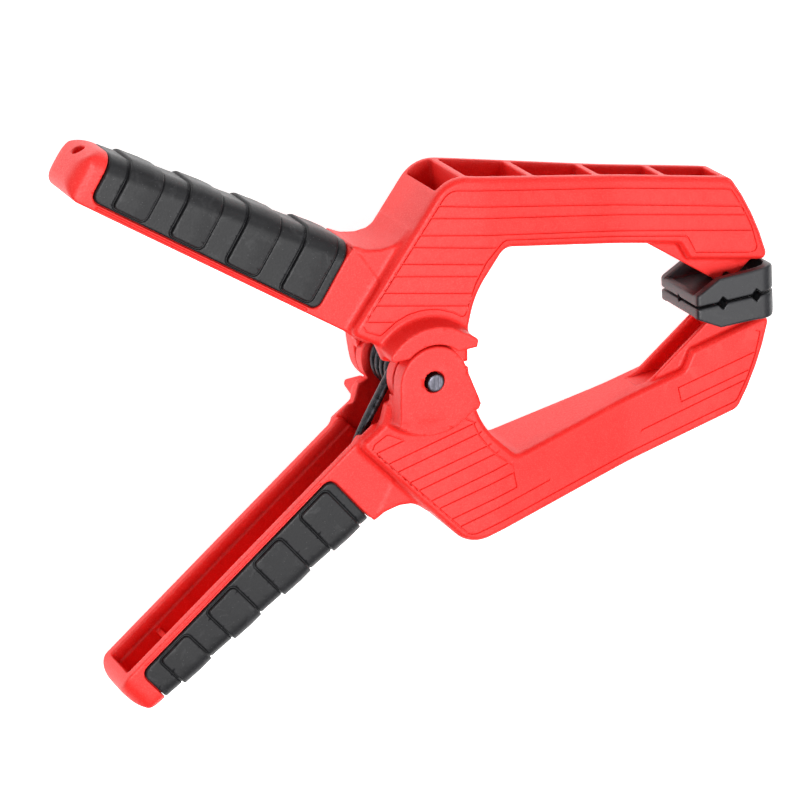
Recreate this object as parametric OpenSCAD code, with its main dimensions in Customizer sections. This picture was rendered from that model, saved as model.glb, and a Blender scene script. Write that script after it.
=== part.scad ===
// Large plastic spring clamp: two identical moulded arms on one pivot pin,
// a torsion spring between the hub ears, overmoulded grips and swivelling
// jaw pads.  The clamp lies on its side: X runs from the handles to the
// jaws, Y across the jaws, Z is the pivot axis.  Z = 0 is the lowest point
// (the lower end of the pivot pin) and the origin is the middle of the
// footprint.

/* [Arm] */
// Half thickness of the neck panels
neck_half = 14.4; // [14:0.1:15]
// Half thickness of the jaw at its tip
tip_half = 9.1; // [8.6:0.1:10]
// Half thickness of the hub, over the two lugs
hub_half = 21.5; // [20:0.1:23]
// Height of the jaw's outer corner above the pivot line
jaw_rise = 65.2; // [63:0.1:67]
// Thickness of the cross ribs in the jaw
rib = 2.6; // [2:0.1:3.4]
// Thickness of the jaw's side walls
wall = 3.3; // [2.6:0.1:3.6]

/* [Handle] */
// Angle of each handle from the clamp's centre line
handle_ang = 35.9; // [34:0.1:38]
// Half thickness of the handle outside the grip
handle_half = 11.4; // [11:0.1:12]
// Half width of the open channel inside the handle
chan_half = 7.25; // [6.5:0.05:7.5]
// Distance from the pivot to the end of the handle
handle_end = 146.5; // [144:0.5:150]
// Radius of the hang hole in the handle's end
hang_r = 2.15; // [1.5:0.05:2.5]

/* [Grip] */
// Thickness of the soft grip over the handle
grip_t = 2.2; // [1.8:0.1:2.4]
// How far the raised grip blocks stand proud
block_h = 0.9; // [0.5:0.1:1.2]

/* [Pivot] */
// Radius of the pivot pin
pin_r = 3.0; // [2.5:0.1:3.2]
// Radial running clearance of the bores on their pins
run_fit = 0.05; // [0.02:0.01:0.1]
// Radius of the round lug on the outside of the hub
lug_r = 12.3; // [11.8:0.1:12.5]
// Radius of the inner ear
ear_r = 12.4; // [12:0.1:12.6]

/* [Spring] */
// Wire diameter of the torsion spring
wire_d = 3.5; // [2.8:0.1:3.6]
// Mean radius of the spring's coil
coil_r = 8.75; // [8:0.05:9]
// Distance between neighbouring turns
coil_pitch = 3.75; // [3.6:0.05:3.8]

/* [Jaw pads] */
// Half width of the jaw pads
pad_half = 13.2; // [12:0.1:14]
// Height of a pad from the clamping face to its back
pad_back = 9.1; // [8.8:0.1:9.3]
// Half of the gap between the two clamping faces at rest
face_gap = 0.45; // [0.3:0.05:0.6]
// Radius of the pins that the pads swivel on
pad_pin_r = 1.5; // [1.2:0.1:1.6]

/* [Hidden] */
$fn = 64;

red = [0.86, 0.13, 0.10];
black = [0.12, 0.12, 0.13];
steel = [0.55, 0.56, 0.60];
dark_steel = [0.22, 0.22, 0.24];

pin_over = 1.3;                 // the pin stands this far out of each lug
z_mid = hub_half + pin_over;    // height of the clamp's middle plane
x_mid = 10.7;                    // pivot to the middle of the footprint
cav = 9.9;                      // half width of the spring space in the hub
ear_top = 15.0;                 // outer face of the inner ears
lug_low = 15.3;                 // inner face of the outer lugs
pp = [121, 6.6];                // axis of the jaw pad's pin
tongue_half = 6;

// ---- outlines with rounded corners: [x, y, radius] ----
function unit(v) = v / norm(v);
function corner(a, p, b, r, n) =
    let (u = unit(a - p), w = unit(b - p), h = acos(u * w) / 2,
         c = p + unit(u + w) * r / sin(h),
         s = p + u * r / tan(h) - c, e = p + w * r / tan(h) - c,
         a0 = atan2(s[1], s[0]), d0 = atan2(e[1], e[0]) - a0,
         d = d0 > 180 ? d0 - 360 : d0 < -180 ? d0 + 360 : d0)
    [for (i = [0:n]) c + r * [cos(a0 + d * i / n), sin(a0 + d * i / n)]];
function xy(q) = [q[0], q[1]];
function rounded(p, n = 4) =
    [for (i = [0:len(p) - 1])
        each (p[i][2] > 0
            ? corner(xy(p[(i + len(p) - 1) % len(p)]), xy(p[i]),
                     xy(p[(i + 1) % len(p)]), p[i][2], n)
            : [xy(p[i])])];

// Neck and jaw, drawn for the arm above the centre line
jaw = [[-14.2, 8, 0], [-16.4, 14.1, 3], [-24.4, 19.2, 2],
       [-24.4, 21.8, 2], [6.6, jaw_rise - 6.0, 0], [12.0, jaw_rise - 0.6, 5],
       [20.5, jaw_rise, 0], [122.8, 43.2, 4], [127.6, 37.6, 0],
       [132.0, 28.0, 0], [136.3, 13.4, 0],
       [136.3, 10.2, 2.2], [105.0, 16.8, 2.5], [101.5, 23.4, 3],
       [33.0, 37.9, 4], [21.2, 24.8, 12], [17.2, 12.5, 12],
       [16.6, 1.0, 0], [12, 1.0, 0], [-8, 6, 0]];
// Narrow tongue below the jaw panels, which carries the pad
tongue = [[86, 30, 0], [90.3, 25.3, 0], [118.9, 4.6, 0], [121, 4.0, 0],
          [123.6, 5.0, 0], [133.5, 12.5, 0], [131, 22, 0]];
// Outer line of the grip's surface and of the red body under it
function grip_out(s) = 27.6 - 0.095 * (s - 48);
function core_out(s) = grip_out(s) - grip_t;

module st() rotate([0, 0, 180 - handle_ang]) mirror([0, 1, 0]) children();
function st2uv(s, t) = [-s * cos(handle_ang) + t * sin(handle_ang),
                        s * sin(handle_ang) + t * cos(handle_ang)];

module prism(p, half) linear_extrude(2 * half, center = true) polygon(p);
module slab(p, z0, z1) translate([0, 0, z0]) linear_extrude(z1 - z0) polygon(p);
module plan(p) rotate([90, 0, 0]) linear_extrude(400, center = true) polygon(p);

// Half thickness along the jaw, less a wall of thickness w
module taper(w) plan([[-60, -(neck_half - w)], [25, -(neck_half - w)],
                      [78, -(tip_half - w)], [140, -(tip_half - w)],
                      [140, tip_half - w], [78, tip_half - w],
                      [25, neck_half - w], [-60, neck_half - w]]);

// Body of the handle, before the grip's recess
module handle_solid() intersection() {
    st() prism(rounded([[24, 1.2, 0], [handle_end, -0.2, 4],
                        [handle_end - 0.6, grip_out(140) + 0.2, 7],
                        [46, grip_out(46), 0], [41, 28.5, 0],
                        [34.5, 30.8, 0], [31, 32.4, 0], [27, 33, 0]]), handle_half);
    st() plan(rounded([[0, -handle_half, 0], [handle_end, -handle_half, 5],
                       [handle_end, handle_half, 5], [0, handle_half, 0]]));
}
// Space that the soft grip fills
module grip_space() difference() {
    st() prism(rounded([[46.3, 3.2, 3.4], [137.2, 3.2, 3.4],
                        [137.2, grip_out(137.2) + 3, 0],
                        [46.3, grip_out(46.3) + 3, 0]]), 14);
    st() prism([[30, 0], [150, 0], [150, core_out(150)], [30, core_out(30)]],
               handle_half - grip_t + 0.4);
}

// One arm, drawn above the centre line, middle plane at Z = 0.
// Its outer lug is on the low side, its inner ear on the high side.
module arm() difference() {
    union() {
        intersection() {
            linear_extrude(60, center = true) polygon(rounded(jaw));
            taper(0);
        }
        prism(rounded(tongue), tongue_half);
        translate([pp[0], pp[1], -tongue_half])
            cylinder(r = 2.9, h = 2 * tongue_half);
        difference() {
            handle_solid();
            grip_space();
        }
        // concave root between handle and neck
        slab([[-20.4, 47.5], [-16, 46.9], [-11, 46.3], [-7, 46.7],
              [-4, 48.0], [-1.0, 50.2], [2, 46], [-10, 30]],
             -handle_half, handle_half);
        // inner ear
        translate([0, 0, cav]) cylinder(r = ear_r, h = ear_top - cav);
        // hub boss on both sides, with its conical foot
        for (m = [0, 1]) mirror([0, 0, m]) intersection() {
            translate([0, 0, neck_half - 0.4])
                cylinder(r1 = 20.4, r2 = 19.1, h = hub_half - neck_half + 0.4);
            slab(m == 0 ? rounded([[-14.4, 10.0, 0.8], [-9, 9.9, 0], [0, 9, 0],
                           [10, 8.6, 0], [16.5, 8.7, 0.8], [16.8, 14, 0],
                           [18, 20, 0], [0, 24, 0], [-18, 20, 0]])
                        : [[-12.3, 0], [10.8, -6], [16.8, 11.7],
                           [15.8, 13.5], [17.5, 22], [-18, 22], [-15.0, 14.8],
                           [-13.2, 12.3]],
                 10, 30);
        }
        // outer lug
        translate([0, 0, -hub_half]) cylinder(r = lug_r, h = hub_half - lug_low);
        translate([0, 0, -hub_half]) linear_extrude(hub_half - lug_low)
            polygon([[-12.3, 0], [10.8, -6], [16.8, 11.7],
                     [15.8, 13.5], [10, 15], [-13.2, 12.3]]);
    }
    // recess for the other arm's ear
    translate([0, 0, -lug_low]) cylinder(r = ear_r + 0.6, h = lug_low - cav + 0.01);
    // the other arm's lug turns inside the raised rim
    translate([0, 0, ear_top]) cylinder(r = lug_r + 0.6, h = 20);
    // spring space, and the hollow of the neck
    translate([0, 0, -cav]) cylinder(r = 13.2, h = 2 * cav);
    prism(rounded([[-30, 8, 0], [12, 2, 0], [13.2, 10, 0], [15.2, 19.5, 3],
                   [22.6, 32.2, 3], [26.5, 38.2, 3], [20, 41, 3],
                   [-2.8, 41, 3], [-21.5, 18.5, 2], [-30, 16, 0]]), cav);
    // open channel of the handle
    st() prism(rounded([[20, -12, 0], [140, -12, 0],
                        [140, core_out(140) - 3.2, 2],
                        [46, core_out(46) - 3.2, 0],
                        [22, 20, 0]]), chan_half);
    // open cells along the jaw's outer edge
    intersection() {
        union() {
            linear_extrude(60, center = true) polygon([[9.6, 46],
                [18.6, 46], [18.6, 80], [9.6, 80]]);
            for (i = [0:3]) let (a = 18.6 + rib + i * 25.8,
                                 b = i == 3 ? 119.6 : a + 25.8 - rib)
                linear_extrude(60, center = true)
                    polygon([[a, 37.6 - 0.213 * (a - 34.5) + 3.4 + (i == 0 ? 2.4 : 0)],
                             [b, 37.6 - 0.213 * (b - 34.5) + 3.4],
                             [b, 80], [a, 80]]);
        }
        taper(wall);
    }
    // slot in the tongue
    prism([[91.2, 29], [90.8, 24.6], [112.6, 8.8], [116.2, 13.6], [97, 29]], 3.5);
    // bores
    translate([0, 0, -30]) cylinder(r = pin_r + run_fit, h = 60);
    translate([0, 0, -hub_half - 1]) cylinder(r = 3.85, h = 2.5);
    translate([pp[0], pp[1], -20]) cylinder(r = pad_pin_r + run_fit, h = 40);
    // hang hole through the end wall
    st() translate([144.7, 16.0, 0]) rotate([0, 0, 36]) rotate([0, 90, 0])
        translate([0, 0, -8.5]) cylinder(r = hang_r, h = 14);
}
// low rib in the channel that the spring's leg bears on
module spring_seat() st() prism([[58, 23.5], [58, 18.75], [61, 20.1], [61, 23.5]],
                                chan_half + 0.1);
module arm_full() { arm(); spring_seat(); }

module grip() {
    intersection() {
        grip_space();
        st() prism([[40, 0], [150, 0], [150, grip_out(150)],
                    [40, grip_out(40)]], 11.6);
    }
    // raised blocks that run round both sides and the back
    intersection() {
        grip_space();
        union() for (i = [0:3]) let (a = 50.5 + 22.2 * i, b = a + 12.3)
            st() prism([[a, 4.7], [b, 4.7], [b, grip_out(b) + block_h],
                        [a, grip_out(a) + block_h]], 11.6 + block_h);
    }
}

module pad() difference() {
    intersection() {
        prism(rounded([[105, face_gap, 0.6], [105, 4.1, 0.6],
                       [114.6, pad_back, 0], [134.0, pad_back, 3],
                       [138.4, 5.2, 3], [138.3, face_gap, 0.6]]), pad_half);
        plan(rounded([[105, -pad_half, 1.5], [138.4, -pad_half, 7],
                      [138.4, pad_half, 7], [105, pad_half, 1.5]]));
    }
    // pocket for the tongue
    slab([[108.2, 3.3], [135.2, 3.3], [135.2, 20], [104, 20], [104, 4.1],
          [108.2, 4.1]], -10.2, 10.2);
    // two V grooves across the face and one along it
    for (x = [115.5, 129]) prism([[x - 2.2, 0.2], [x, 2.4], [x + 2.2, 0.2]], 20);
    translate([120, 0, 0]) rotate([90, 0, 90]) linear_extrude(60, center = true)
        polygon([[0.2, -1.3], [1.6, 0], [0.2, 1.3]]);
    // blind bores for the pad's pin
    translate([pp[0], pp[1], -12.0]) cylinder(r = pad_pin_r + run_fit, h = 24.0);
}
module pad_pin() translate([pp[0], pp[1], -11.8]) cylinder(r = pad_pin_r, h = 23.6);

// Spring wire: a leg, the coil and the other leg as one swept tube.  The
// lower leg runs into the coil's left side; the coil ends near its top,
// where the wire turns back and runs out along the upper handle.
turns = 4 + 54 / 360;
coil_h = turns * coil_pitch;
t0 = 150;
leg = [cos(t0 + 90), sin(t0 + 90)];
tp = coil_r * [cos(t0), sin(t0)];
leg_pts = [[62, 5.4], [46, 5.4], [30, 5.4], [22, 5.6], [12, 6.7], [5, 7.5]];
nc = 72;
t1 = 96;                        // where the coil ends
bend_r = 3.3;
bc = (coil_r + bend_r) * [cos(t1), sin(t1)];
out_ang = 139;                  // direction of the upper leg
ex = bc + bend_r * [cos(out_ang - 90), sin(out_ang - 90)];
up_pts = [[3, 6.6], [8, 5.8], [14, 5.4], [26, 5.4], [40, 5.4], [52.5, 5.4]];
wire_path = concat(
    [for (q = leg_pts) [tp[0] + leg[0] * q[0], tp[1] + leg[1] * q[0], q[1]]],
    [for (i = [0:nc]) let (a = t0 - 360 * turns * i / nc)
        [coil_r * cos(a), coil_r * sin(a), coil_h / 2 - coil_h * i / nc]],
    [for (i = [1:6]) let (b = t1 - 180 + (out_ang - 90 - t1 + 180) * i / 6)
        [bc[0] + bend_r * cos(b), bc[1] + bend_r * sin(b),
         -coil_h / 2 + (i > 3 ? 0.2 * (i - 3) : 0)]],
    [for (q = up_pts)
        [ex[0] + q[0] * cos(out_ang), ex[1] + q[0] * sin(out_ang), -q[1]]]);
module sweep(path, r, m = 10) {
    n = len(path);
    tan_ = [for (i = [0:n - 1]) unit(path[min(i + 1, n - 1)] - path[max(i - 1, 0)])];
    pts = [for (i = [0:n - 1])
        let (t = tan_[i], s = unit(cross(t, [0, 0, 1])), u = cross(s, t))
        for (k = [0:m - 1])
            path[i] + r * (cos(360 * k / m) * s + sin(360 * k / m) * u)];
    faces = concat([[for (k = [m - 1:-1:0]) k]],
        [for (i = [0:n - 2]) for (k = [0:m - 1]) for (h = [0, 1])
            let (a = i * m + k, b = i * m + (k + 1) % m)
            h == 0 ? [a, b, b + m] : [a, b + m, a + m]],
        [[for (k = [0:m - 1]) (n - 1) * m + k]]);
    polyhedron(pts, faces);
}

module place() translate([-x_mid, 0, z_mid]) children();
module below() rotate([180, 0, 0]) children();

module upper_arm() color(red) place() arm_full();
module lower_arm() color(red) place() below() arm_full();
module upper_grip() color(black) place() grip();
module lower_grip() color(black) place() below() grip();
module pivot_pin() color(steel) place() translate([0, 0, -z_mid])
    cylinder(r = pin_r, h = 2 * z_mid);
module torsion_spring() color(dark_steel) place() sweep(wire_path, wire_d / 2);
module upper_jaw_pad() color(black) place() pad();
module lower_jaw_pad() color(black) place() below() pad();
module upper_pad_pin() color(steel) place() pad_pin();
module lower_pad_pin() color(steel) place() below() pad_pin();

lower_arm();
upper_arm();
lower_grip();
upper_grip();
pivot_pin();
torsion_spring();
lower_jaw_pad();
upper_jaw_pad();
lower_pad_pin();
upper_pad_pin();
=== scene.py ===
import bpy
import math
import numpy as np
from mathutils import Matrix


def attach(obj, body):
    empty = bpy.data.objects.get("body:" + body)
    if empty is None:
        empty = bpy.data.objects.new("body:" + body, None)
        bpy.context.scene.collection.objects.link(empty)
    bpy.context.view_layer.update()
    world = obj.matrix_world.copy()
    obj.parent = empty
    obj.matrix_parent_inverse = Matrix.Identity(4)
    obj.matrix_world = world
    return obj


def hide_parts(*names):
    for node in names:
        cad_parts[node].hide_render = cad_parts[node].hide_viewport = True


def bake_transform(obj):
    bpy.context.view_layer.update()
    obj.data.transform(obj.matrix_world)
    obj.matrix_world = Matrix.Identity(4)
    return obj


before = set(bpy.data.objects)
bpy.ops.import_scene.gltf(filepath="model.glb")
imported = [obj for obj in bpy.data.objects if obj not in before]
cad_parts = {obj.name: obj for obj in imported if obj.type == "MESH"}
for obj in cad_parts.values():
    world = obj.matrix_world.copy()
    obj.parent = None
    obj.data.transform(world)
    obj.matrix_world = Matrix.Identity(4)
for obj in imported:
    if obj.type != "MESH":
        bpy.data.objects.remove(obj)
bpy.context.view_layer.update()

import openvdb
from mathutils import Matrix, Vector
from mathutils.geometry import delaunay_2d_cdt

# Everything is drawn in millimetres in the upper arm's own frame: u along the
# clamp from the pivot, v up across the jaws, w along the pivot axis.
X_MID, Z_MID = 10.7, 22.8
STEP = 0.4
F32 = np.float32

ANG = math.radians(35.9)
CA, SA = math.cos(ANG), math.sin(ANG)
HUB, EAR_TOP, LUG_LOW, CAV = 21.5, 15.0, 15.3, 9.9
HANDLE_HALF, CHAN, GRIP_T = 11.4, 7.25, 2.2
PP = (121.0, 6.6)


def to_frame(p):
    """Canonical millimetres to row-frame metres."""
    q = np.array(p, float)
    return np.stack([q[..., 0] - X_MID, q[..., 1], q[..., 2] + Z_MID], -1) * 0.001


def st_uv(s, t):
    return (-s * CA + t * SA, s * SA + t * CA)


def gout(s):
    return 27.6 - 0.095 * (s - 48.0)


# ------------------------------------------------------------ distance fields
def rounded(pts, n=5):
    """Outline with its corners rounded: (x, y, radius) in, points out."""
    out = []
    m = len(pts)
    for i in range(m):
        x, y, r = (tuple(pts[i]) + (0.0,))[:3]
        p = np.array([x, y])
        if r <= 0:
            out.append(p)
            continue
        a = np.array(pts[i - 1][:2]) - p
        b = np.array(pts[(i + 1) % m][:2]) - p
        a, b = a / np.linalg.norm(a), b / np.linalg.norm(b)
        h = math.acos(max(-1, min(1, float(a @ b)))) / 2
        c = p + (a + b) / np.linalg.norm(a + b) * r / math.sin(h)
        s, e = p + a * r / math.tan(h) - c, p + b * r / math.tan(h) - c
        a0 = math.atan2(s[1], s[0])
        d = math.atan2(e[1], e[0]) - a0
        d = d - 2 * math.pi if d > math.pi else d + 2 * math.pi if d < -math.pi else d
        n_ = max(n, int(abs(d) * r / 1.0))
        for k in range(n_ + 1):
            g = a0 + d * k / n_
            out.append(c + r * np.array([math.cos(g), math.sin(g)]))
    return np.array(out)


def poly(x, y, pts):
    """Signed distance to a closed outline, negative inside."""
    shape = np.broadcast(x, y).shape
    d2 = np.full(shape, 1e9, F32)
    inside = np.zeros(shape, bool)
    m = len(pts)
    for i in range(m):
        ax, ay = pts[i][0], pts[i][1]
        bx, by = pts[(i + 1) % m][0], pts[(i + 1) % m][1]
        ex, ey = bx - ax, by - ay
        l2 = ex * ex + ey * ey
        if l2 < 1e-12:
            continue
        wx, wy = x - F32(ax), y - F32(ay)
        t = np.clip((wx * F32(ex) + wy * F32(ey)) * F32(1 / l2), 0, 1)
        dx, dy = wx - F32(ex) * t, wy - F32(ey) * t
        d2 = np.minimum(d2, dx * dx + dy * dy)
        up = (y >= ay) & (y < by) & (ex * wy > ey * wx)
        dn = (y < ay) & (y >= by) & (ex * wy < ey * wx)
        inside ^= up | dn
    return np.where(inside, -1, 1).astype(F32) * np.sqrt(d2)


def smax(a, b, r):
    """Intersection with its edge rounded to radius r."""
    if r <= 0:
        return np.maximum(a, b)
    r = F32(r)
    u, v = np.maximum(a + r, 0), np.maximum(b + r, 0)
    return np.minimum(-r, np.maximum(a, b)) + np.sqrt(u * u + v * v)


def smin(a, b, r):
    """Union with a fillet of radius r."""
    return -smax(-a, -b, r) if r > 0 else np.minimum(a, b)


def cut(a, b, r):
    """a less b, with the edge rounded to radius r."""
    return smax(a, -b, r)


def soft_ramp(x, a, b, e=3.0):
    """0 before a, 1 after b, straight between them with softened ends."""
    return F32(0.5) + (np.sqrt((x - a) ** 2 + e * e) - np.sqrt((x - b) ** 2 + e * e)) * F32(0.5 / (b - a))


def smooth(x, a, b):
    t = np.clip((x - a) / (b - a), 0, 1)
    return t * t * (3 - 2 * t)


def half_at(x):
    """Half thickness of the neck and jaw along the clamp."""
    return F32(14.4) - F32(5.3) * soft_ramp(x, 25.0, 78.0)


def sample(f, lo, hi, h, tile=36):
    """The field on a grid, worked out only near the surface."""
    ax = [np.arange(lo[i] - 3 * h, hi[i] + 3 * h, h).astype(F32) for i in range(3)]
    g = np.full([len(a) for a in ax], 3.0, F32)
    cs = 6
    coarse = f(ax[0][::cs][:, None, None], ax[1][::cs][None, :, None], ax[2][::4][None, None, :])
    coarse = np.broadcast_to(coarse, (len(ax[0][::cs]), len(ax[1][::cs]), len(ax[2][::4])))
    low = coarse.min(2)
    for i in range(0, len(ax[0]), tile):
        for j in range(0, len(ax[1]), tile):
            part = low[max(0, i // cs - 1):(i + tile) // cs + 2, max(0, j // cs - 1):(j + tile) // cs + 2]
            if part.size and part.min() > cs * h * 1.6:
                continue
            v = f(ax[0][i:i + tile][:, None, None], ax[1][j:j + tile][None, :, None], ax[2][None, None, :])
            g[i:i + tile, j:j + tile] = v
    return g, [a[0] for a in ax]


def interp(g, org, h, p):
    """Trilinear value of the grid at points p."""
    q = (p - np.array(org)) / h
    i = np.clip(np.floor(q).astype(int), 0, np.array(g.shape) - 2)
    f = (q - i).astype(F32)
    r = 0
    for a in (0, 1):
        wa = f[:, 0] if a else 1 - f[:, 0]
        for b in (0, 1):
            wb = f[:, 1] if b else 1 - f[:, 1]
            for c in (0, 1):
                wc = f[:, 2] if c else 1 - f[:, 2]
                r = r + g[i[:, 0] + a, i[:, 1] + b, i[:, 2] + c] * wa * wb * wc
    return r


def gradient(g, org, h, p):
    e = h * 0.6
    out = []
    for k in range(3):
        d = np.zeros(3)
        d[k] = e
        out.append(interp(g, org, h, p + d) - interp(g, org, h, p - d))
    n = np.stack(out, 1)
    return n / np.maximum(np.linalg.norm(n, axis=1, keepdims=True), 1e-9)


def extract(g, org, h, adaptivity, rough=None):
    """Points, normals and faces of the zero surface, pulled on to it."""
    grid = openvdb.FloatGrid(3.0)
    grid.copyFromArray(np.clip(g if rough is None else rough, -3, 3))
    pts, tris, quads = grid.convertToPolygons(0.0, adaptivity)
    pts = np.array(pts, float) * h + np.array(org)
    for _ in range(2):
        n = gradient(g, org, h, pts)
        pts = pts - n * np.clip(interp(g, org, h, pts), -0.4 * h, 0.4 * h)[:, None]
    n = gradient(g, org, h, pts)
    faces = [tuple(q) for q in np.array(quads).tolist()] if len(quads) else []
    if len(tris):
        faces += [tuple(q) for q in np.array(tris).tolist()]
    return pts, n, faces


# ------------------------------------------------------------------- the arm
JAW = rounded([(-14.2, 8), (-16.4, 14.1, 3), (-24.4, 19.2, 2), (-24.4, 21.8, 2),
               (12.93, 66.83, 12.8), (122.9, 43.2, 5), (127.2, 36.2, 8), (130.9, 28.7, 30),
               (133.9, 21.2, 30), (136.3, 13.2, 4), (136.3, 10.2, 2.2), (105.0, 16.8, 2.5),
               (101.5, 23.4, 3), (33.0, 37.9, 5), (21.2, 24.8, 30),
               (17.2, 12.5, 30), (16.6, 1.0), (12, 1.0), (-8, 6)])
TONGUE = np.array([(86, 30), (90.3, 25.3), (118.9, 4.6), (121, 4.0), (123.6, 5.0),
                   (133.5, 12.5), (131, 22)], float)
HANDLE = rounded([(24, 1.2), (146.3, 0.9, 6), (145.9, gout(140) + 0.2, 11),
                  (46, gout(46)), (41, 28.5), (34.5, 30.8), (31, 32.4), (27, 33)])
RECESS = rounded([(46.3, 3.2, 3.4), (137.2, 3.2, 3.4), (137.2, 40), (46.3, 40)])
ROOT = np.array([(-20.4, 47.5), (-16, 46.9), (-11, 46.3), (-7, 46.7), (-4, 48.0),
                 (-1.0, 50.2), (2, 46), (-10, 30)], float)
FOOT_P = rounded([(-14.4, 10.0, 0.8), (-9, 9.9), (0, 9), (10, 8.6), (16.8, 8.7, 0.5),
                  (18.2, 12), (18, 20), (0, 24), (-18, 20)])
FOOT_N = np.array([(-12.3, 0), (10.8, -6), (16.8, 11.7), (15.8, 13.5), (17.5, 22),
                   (-18, 22), (-15.0, 14.8), (-13.2, 12.3)], float)
FOOT_TIP = rounded([(9, 16), (13.5, 14.2), (17.3, 11.4, 1.3), (16.7, 8.8, 0.9), (9, 8.6)])
LUG = rounded([(-12.3, 0), (10.8, -6), (16.8, 11.7, 0.8), (15.8, 13.5), (10, 15), (-13.2, 12.3)])
NECK = rounded([(-30, 8), (12, 2), (13.2, 10), (15.2, 19.5, 3), (22.6, 32.2, 3),
                (26.5, 38.2, 3), (20, 41, 3), (-2.8, 41, 3), (-21.5, 18.5, 2), (-30, 16)])
CHANNEL = rounded([(20, -12), (140, -12), (140, gout(140) - 5.4, 2),
                   (46, gout(46) - 5.4), (22, 20)])
SLOT = np.array([(85, 27.2), (90, 25.6), (112.6, 8.8), (116.2, 13.6), (98, 26.5)], float)


def cells():
    out = [rounded([(9.6, 46, 1.2), (18.6, 46, 1.2), (18.6, 80), (9.6, 80)], 3)]
    for i in range(4):
        a = 21.2 + i * 25.8
        b = 119.6 if i == 3 else a + 23.2
        ya = 37.6 - 0.213 * (a - 34.5) + 3.4 + (2.4 if i == 0 else 0)
        yb = 37.6 - 0.213 * (b - 34.5) + 3.4
        out.append(rounded([(a, ya, 1.2), (b, yb, 1.2), (b, 80), (a, 80)], 3))
    return out


CELLS = cells()


def handle_blank(s, t, z, az):
    """The handle's body with its rounded outer corners and its rounded end."""
    top = t - F32(27.6) + F32(0.095) * (s - F32(48))
    big = smax(top, az - F32(HANDLE_HALF), 6.6)
    small = np.maximum(top, az - F32(HANDLE_HALF))
    w = smooth(s, 36.0, 50.0)
    body = small * (1 - w) + big * w
    body = np.where(s < 46, np.maximum(body - 40 * (1 - w), az - F32(HANDLE_HALF)), body)
    d = smax(poly(s, t, HANDLE), body, 0.7)
    return smax(d, smax(s - F32(146.5), az - F32(HANDLE_HALF), 6.6), 0.8)


def core(s, t, az, grow=0.0):
    """The red body under the soft grip."""
    line = t - F32(27.6 - GRIP_T + grow) + F32(0.095) * (s - F32(48))
    return smax(line, az - F32(9.6 + grow), 5.0)


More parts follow.
